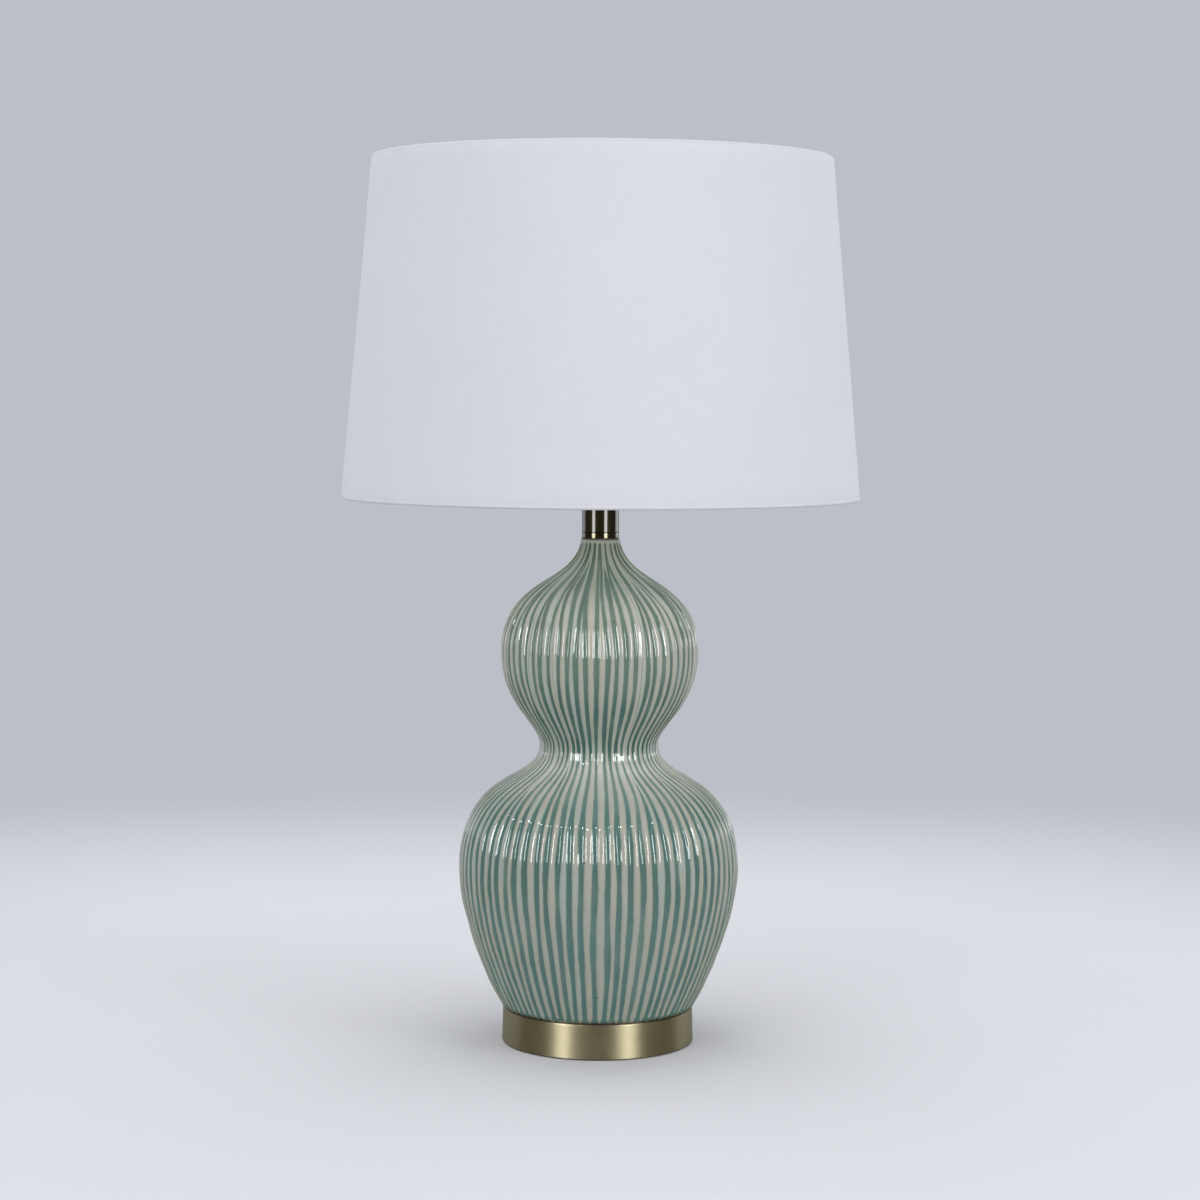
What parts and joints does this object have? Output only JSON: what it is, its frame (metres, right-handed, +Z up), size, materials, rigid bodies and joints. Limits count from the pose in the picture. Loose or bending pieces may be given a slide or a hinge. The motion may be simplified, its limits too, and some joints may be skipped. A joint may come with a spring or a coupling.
{
  "type": "table lamp",
  "caption": "Table lamp with a ribbed, glazed double gourd body on a round brass base, and a white tapered drum shade.",
  "frame": {"origin": "centre of the felt pad's underside, on the surface that the lamp stands on", "axes": "+Z up along the lamp's own axis; -Y towards the viewer, where the switch knob points; +Y to the cord gland"},
  "size_m": [0.406, 0.4058, 0.7039],
  "materials": {
    "base_brass": "brushed, clear lacquer",
    "neck_brass": "polished",
    "finial_brass": "satin",
    "harp_brass": "bright",
    "frame_brass": "bright",
    "frame_steel": "drawn wire",
    "glaze": "glossy glaze, green in the grooves and cream on the ribs",
    "gasket_rubber": "matt",
    "cast_iron": "as cast, black paint",
    "board": "pressed",
    "felt": "felt",
    "zinc_steel": "zinc plated",
    "socket_brass": "satin",
    "sleeve_card": "pressed",
    "socket_moulding": "moulded",
    "screw_shell": "rolled thread",
    "knob_plastic": "moulded, ribbed",
    "shaft_steel": "drawn",
    "bulb_diffuser": "frosted",
    "bulb_white": "moulded",
    "bulb_metal": "rolled thread",
    "bulb_black": "glassy",
    "linen": "fine woven linen, white",
    "liner": "white styrene"
  },
  "bodies": {
    "root": {"base_ring": "base_brass", "base_weight": "cast_iron", "base_board": "board", "felt_pad": "felt", "base_gasket": "gasket_rubber", "cord_gland": "gasket_rubber", "gourd_body": "glaze", "lamp_pipe": "zinc_steel", "bottom_washer": "zinc_steel", "bottom_lock_washer": "zinc_steel", "bottom_nut": "zinc_steel", "neck_gasket": "gasket_rubber", "neck_collar": "neck_brass", "neck_tube": "neck_brass", "neck_cap": "neck_brass", "harp_saddle": "harp_brass", "saddle_locknut": "socket_brass", "socket_cap": "socket_brass", "socket_set_screw": "socket_brass", "socket_shell": "socket_brass", "socket_sleeve": "sleeve_card", "socket_core": "socket_moulding", "terminal_screws": "socket_brass", "socket_thread": "screw_shell", "socket_contact": "socket_brass"},
    "knob": {"switch_shaft": "shaft_steel", "switch_knob": "knob_plastic"},
    "bulb_contact": {"bulb_tip": "bulb_metal"},
    "bulb": {"bulb_insulator": "bulb_black", "bulb_cap": "bulb_metal", "bulb_housing": "bulb_white", "bulb_globe": "bulb_diffuser"},
    "harp": {"harp_wire": "harp_brass", "harp_block": "harp_brass"},
    "ferrule_left": {"harp_ferrule_left": "harp_brass"},
    "ferrule_right": {"harp_ferrule_right": "harp_brass"},
    "stud": {"harp_stud": "harp_brass"},
    "shade": {"shade_cloth": "linen", "shade_liner": "liner", "shade_lap": "liner", "shade_top_ring": "frame_steel", "shade_bottom_ring": "frame_steel", "spider_hub": "frame_brass", "spider_arms": "frame_brass"},
    "finial_thread": {"finial_insert": "finial_brass"},
    "finial": {"finial_base": "finial_brass", "finial_ball": "finial_brass"}
  },
  "joints": [
    {"name": "knob_turn", "type": "hinge", "parent": "root", "child": "knob", "pos_m": [0, -0.0205, 0.4653], "axis": [0, -1, 0], "continuous": true},
    {"name": "bulb_rise", "type": "slide", "parent": "root", "child": "bulb_contact", "axis": [0, 0, 1], "range_m": [0, 0.0128]},
    {"name": "bulb_turn", "type": "hinge", "parent": "bulb_contact", "child": "bulb", "pos_m": [0, 0, 0.4761], "axis": [0, 0, 1], "range_deg": [0, 1260]},
    {"name": "harp_lift", "type": "slide", "parent": "root", "child": "harp", "axis": [0, 0, 1], "range_m": [0, 0.014]},
    {"name": "ferrule_slide_left", "type": "slide", "parent": "harp", "child": "ferrule_left", "axis": [0, 0, 1], "range_m": [0, 0.0135]},
    {"name": "ferrule_slide_right", "type": "slide", "parent": "harp", "child": "ferrule_right", "axis": [0, 0, 1], "range_m": [0, 0.0135]},
    {"name": "shade_swivel", "type": "hinge", "parent": "harp", "child": "stud", "pos_m": [0, 0, 0.6831], "axis": [0, 0, 1], "continuous": true},
    {"name": "shade_lift", "type": "slide", "parent": "stud", "child": "shade", "axis": [0, 0, 1], "range_m": [0, 0.012]},
    {"name": "finial_rise", "type": "slide", "parent": "shade", "child": "finial_thread", "axis": [0, 0, 1], "range_m": [0, 0.0086]},
    {"name": "finial_turn", "type": "hinge", "parent": "finial_thread", "child": "finial", "pos_m": [0, 0, 0.6862], "axis": [0, 0, 1], "range_deg": [0, 3240]}
  ],
  "couplings": [
    {"joint": "bulb_rise", "follows": "bulb_turn", "m_per_rad": 0.0005775},
    {"joint": "finial_rise", "follows": "finial_turn", "m_per_rad": 0.00014972}
  ]
}
